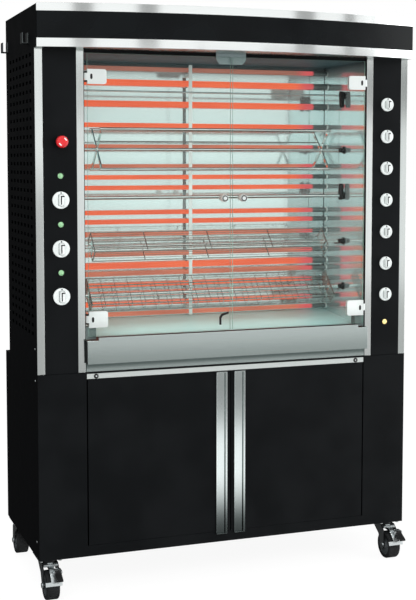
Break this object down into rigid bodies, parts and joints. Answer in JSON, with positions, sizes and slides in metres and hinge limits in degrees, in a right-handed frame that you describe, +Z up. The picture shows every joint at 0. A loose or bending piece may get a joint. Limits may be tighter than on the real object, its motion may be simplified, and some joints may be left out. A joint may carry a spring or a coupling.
{
  "type": "electric spit rotisserie",
  "caption": "Floor-standing electric spit rotisserie with glass doors, turning spits before glowing tubes, a drip drawer, control posts and a cupboard base on casters.",
  "frame": {"origin": "on the floor, under the centre of the whole object's box", "axes": "+X to the right across the front, +Y to the back, +Z up"},
  "size_m": [1.417, 0.7209, 1.995],
  "materials": {
    "black_panel": "satin black powder coat",
    "stainless": "brushed stainless steel",
    "chrome_trim": "polished stainless trim",
    "cavity_steel": "bright rolled stainless steel",
    "door_glass": "clear toughened glass, slightly green",
    "fitting_metal": "polished chrome",
    "glowing_tube": "hot orange-red sheathed heating element",
    "spit_steel": "bright stainless bar and wire",
    "knob_white": "glossy white moulding with a silver bar",
    "stop_red": "glossy red moulding",
    "lamp_lens": "translucent lens",
    "black_plastic": "matt black moulding",
    "grey_stop": "grey moulding",
    "motor_case": "cast housing",
    "bearing_bronze": "sintered bronze",
    "zinc": "zinc plated steel",
    "black_fork": "black painted pressing",
    "wheel_rubber": "black rubber tyre on a dark rim"
  },
  "bodies": {
    "cabinet": {"base_floor": "black_panel", "base_sides": "black_panel", "base_back_panel": "black_panel", "front_strip": "stainless", "panel_screws": "zinc", "caster_plates": "zinc", "side_panels": "black_panel", "control_panels": "black_panel", "post_trims": "chrome_trim", "cavity_liner": "cavity_steel", "cavity_side_walls": "cavity_steel", "cavity_floor": "cavity_steel", "rear_panel": "black_panel", "cable_gland": "black_plastic", "heating_tubes": "glowing_tube", "element_supports": "cavity_steel", "canopy_shell": "black_panel", "canopy_trims": "chrome_trim", "door_stops": "grey_stop", "hinge_pins": "fitting_metal", "switch_bodies": "black_plastic", "spit_motors": "motor_case", "spit_bearings": "bearing_bronze", "signal_lamps": "lamp_lens", "side_hooks": "stainless"},
    "left_glass_door": {"left_glass": "door_glass", "left_door_fittings": "fitting_metal"},
    "right_glass_door": {"right_glass": "door_glass", "right_door_fittings": "fitting_metal"},
    "left_base_door": {"left_base_door": "black_panel", "left_door_handle": "chrome_trim"},
    "right_base_door": {"right_base_door": "black_panel", "right_door_handle": "chrome_trim"},
    "drip_tray": {"drip_tray": "stainless"},
    "spit_1": {"spit_1_rod": "spit_steel"},
    "spit_2": {"spit_2_cradle": "spit_steel"},
    "spit_3": {"spit_3_spear": "spit_steel"},
    "spit_4": {"spit_4_flat_basket": "spit_steel"},
    "spit_5": {"spit_5_mesh_basket": "spit_steel"},
    "emergency_stop": {"emergency_stop": "stop_red"},
    "right_knob_1": {"right_knob_1": "knob_white"},
    "right_knob_2": {"right_knob_2": "knob_white"},
    "right_knob_3": {"right_knob_3": "knob_white"},
    "right_knob_4": {"right_knob_4": "knob_white"},
    "right_knob_5": {"right_knob_5": "knob_white"},
    "right_knob_6": {"right_knob_6": "knob_white"},
    "right_knob_7": {"right_knob_7": "knob_white"},
    "left_knob_1": {"left_knob_1": "knob_white"},
    "left_knob_2": {"left_knob_2": "knob_white"},
    "left_knob_3": {"left_knob_3": "knob_white"},
    "fork_front_left": {"caster_fork_front_left": "black_fork"},
    "wheel_front_left": {"caster_wheel_front_left": "wheel_rubber"},
    "fork_front_right": {"caster_fork_front_right": "black_fork"},
    "wheel_front_right": {"caster_wheel_front_right": "wheel_rubber"},
    "fork_back_left": {"caster_fork_back_left": "black_fork"},
    "wheel_back_left": {"caster_wheel_back_left": "wheel_rubber"},
    "fork_back_right": {"caster_fork_back_right": "black_fork"},
    "wheel_back_right": {"caster_wheel_back_right": "wheel_rubber"},
    "pedal_front_left": {"brake_pedal_front_left": "black_plastic"},
    "pedal_front_right": {"brake_pedal_front_right": "black_plastic"}
  },
  "joints": [
    {"name": "left_glass_door_hinge", "type": "hinge", "parent": "cabinet", "child": "left_glass_door", "pos_m": [-0.517, -0.2405, 1.35], "axis": [0, 0, -1], "range_deg": [0, 105]},
    {"name": "right_glass_door_hinge", "type": "hinge", "parent": "cabinet", "child": "right_glass_door", "pos_m": [0.517, -0.2405, 1.35], "axis": [0, 0, 1], "range_deg": [0, 105]},
    {"name": "left_base_door_hinge", "type": "hinge", "parent": "cabinet", "child": "left_base_door", "pos_m": [-0.5065, -0.2285, 0.46], "axis": [0, 0, -1], "range_deg": [0, 110]},
    {"name": "right_base_door_hinge", "type": "hinge", "parent": "cabinet", "child": "right_base_door", "pos_m": [0.5065, -0.2285, 0.46], "axis": [0, 0, 1], "range_deg": [0, 110]},
    {"name": "drip_tray_slide", "type": "slide", "parent": "cabinet", "child": "drip_tray", "axis": [0, -1, 0], "range_m": [0, 0.4]},
    {"name": "spit_1_turn", "type": "hinge", "parent": "cabinet", "child": "spit_1", "pos_m": [0, -0.0625, 1.728], "axis": [1, 0, 0], "continuous": true},
    {"name": "spit_2_turn", "type": "hinge", "parent": "cabinet", "child": "spit_2", "pos_m": [0, -0.0625, 1.525], "axis": [1, 0, 0], "continuous": true},
    {"name": "spit_3_turn", "type": "hinge", "parent": "cabinet", "child": "spit_3", "pos_m": [0, -0.0625, 1.355], "axis": [1, 0, 0], "continuous": true},
    {"name": "spit_4_turn", "type": "hinge", "parent": "cabinet", "child": "spit_4", "pos_m": [0, -0.0625, 1.184], "axis": [1, 0, 0], "continuous": true},
    {"name": "spit_5_turn", "type": "hinge", "parent": "cabinet", "child": "spit_5", "pos_m": [0, -0.0625, 1.014], "axis": [1, 0, 0], "continuous": true},
    {"name": "emergency_stop_press", "type": "slide", "parent": "cabinet", "child": "emergency_stop", "axis": [0, 1, 0], "range_m": [0, 0.006], "stiffness_N_per_m": 600, "springref_m": -0.004},
    {"name": "right_knob_1_turn", "type": "hinge", "parent": "cabinet", "child": "right_knob_1", "pos_m": [0.60425, -0.2375, 1.688], "axis": [0, 1, 0], "range_deg": [0, 90]},
    {"name": "right_knob_2_turn", "type": "hinge", "parent": "cabinet", "child": "right_knob_2", "pos_m": [0.60425, -0.2375, 1.573], "axis": [0, 1, 0], "range_deg": [0, 90]},
    {"name": "right_knob_3_turn", "type": "hinge", "parent": "cabinet", "child": "right_knob_3", "pos_m": [0.60425, -0.2375, 1.458], "axis": [0, 1, 0], "range_deg": [0, 90]},
    {"name": "right_knob_4_turn", "type": "hinge", "parent": "cabinet", "child": "right_knob_4", "pos_m": [0.60425, -0.2375, 1.343], "axis": [0, 1, 0], "range_deg": [0, 90]},
    {"name": "right_knob_5_turn", "type": "hinge", "parent": "cabinet", "child": "right_knob_5", "pos_m": [0.60425, -0.2375, 1.227], "axis": [0, 1, 0], "range_deg": [0, 90]},
    {"name": "right_knob_6_turn", "type": "hinge", "parent": "cabinet", "child": "right_knob_6", "pos_m": [0.60425, -0.2375, 1.112], "axis": [0, 1, 0], "range_deg": [0, 90]},
    {"name": "right_knob_7_turn", "type": "hinge", "parent": "cabinet", "child": "right_knob_7", "pos_m": [0.60425, -0.2375, 0.998], "axis": [0, 1, 0], "range_deg": [0, 90]},
    {"name": "left_knob_1_turn", "type": "hinge", "parent": "cabinet", "child": "left_knob_1", "pos_m": [-0.60425, -0.2375, 1.355], "axis": [0, 1, 0], "range_deg": [0, 270]},
    {"name": "left_knob_2_turn", "type": "hinge", "parent": "cabinet", "child": "left_knob_2", "pos_m": [-0.60425, -0.2375, 1.1935], "axis": [0, 1, 0], "range_deg": [0, 270]},
    {"name": "left_knob_3_turn", "type": "hinge", "parent": "cabinet", "child": "left_knob_3", "pos_m": [-0.60425, -0.2375, 1.0345], "axis": [0, 1, 0], "range_deg": [0, 270]},
    {"name": "swivel_front_left", "type": "hinge", "parent": "cabinet", "child": "fork_front_left", "pos_m": [-0.645, -0.1725, 0.12], "axis": [0, 0, 1], "continuous": true},
    {"name": "roll_front_left", "type": "hinge", "parent": "fork_front_left", "child": "wheel_front_left", "pos_m": [-0.645, -0.2145, 0.05], "axis": [1, 0, 0], "continuous": true},
    {"name": "swivel_front_right", "type": "hinge", "parent": "cabinet", "child": "fork_front_right", "pos_m": [0.645, -0.1725, 0.12], "axis": [0, 0, 1], "continuous": true},
    {"name": "roll_front_right", "type": "hinge", "parent": "fork_front_right", "child": "wheel_front_right", "pos_m": [0.645, -0.2145, 0.05], "axis": [1, 0, 0], "continuous": true},
    {"name": "swivel_back_left", "type": "hinge", "parent": "cabinet", "child": "fork_back_left", "pos_m": [-0.645, 0.2685, 0.12], "axis": [0, 0, 1], "continuous": true},
    {"name": "roll_back_left", "type": "hinge", "parent": "fork_back_left", "child": "wheel_back_left", "pos_m": [-0.645, 0.3105, 0.05], "axis": [1, 0, 0], "continuous": true},
    {"name": "swivel_back_right", "type": "hinge", "parent": "cabinet", "child": "fork_back_right", "pos_m": [0.645, 0.2685, 0.12], "axis": [0, 0, 1], "continuous": true},
    {"name": "roll_back_right", "type": "hinge", "parent": "fork_back_right", "child": "wheel_back_right", "pos_m": [0.645, 0.3105, 0.05], "axis": [1, 0, 0], "continuous": true},
    {"name": "brake_front_left", "type": "hinge", "parent": "fork_front_left", "child": "pedal_front_left", "pos_m": [-0.63, -0.2565, 0.104], "axis": [1, 0, 0], "range_deg": [0, 18]},
    {"name": "brake_front_right", "type": "hinge", "parent": "fork_front_right", "child": "pedal_front_right", "pos_m": [0.66, -0.2565, 0.104], "axis": [1, 0, 0], "range_deg": [0, 18]}
  ]
}
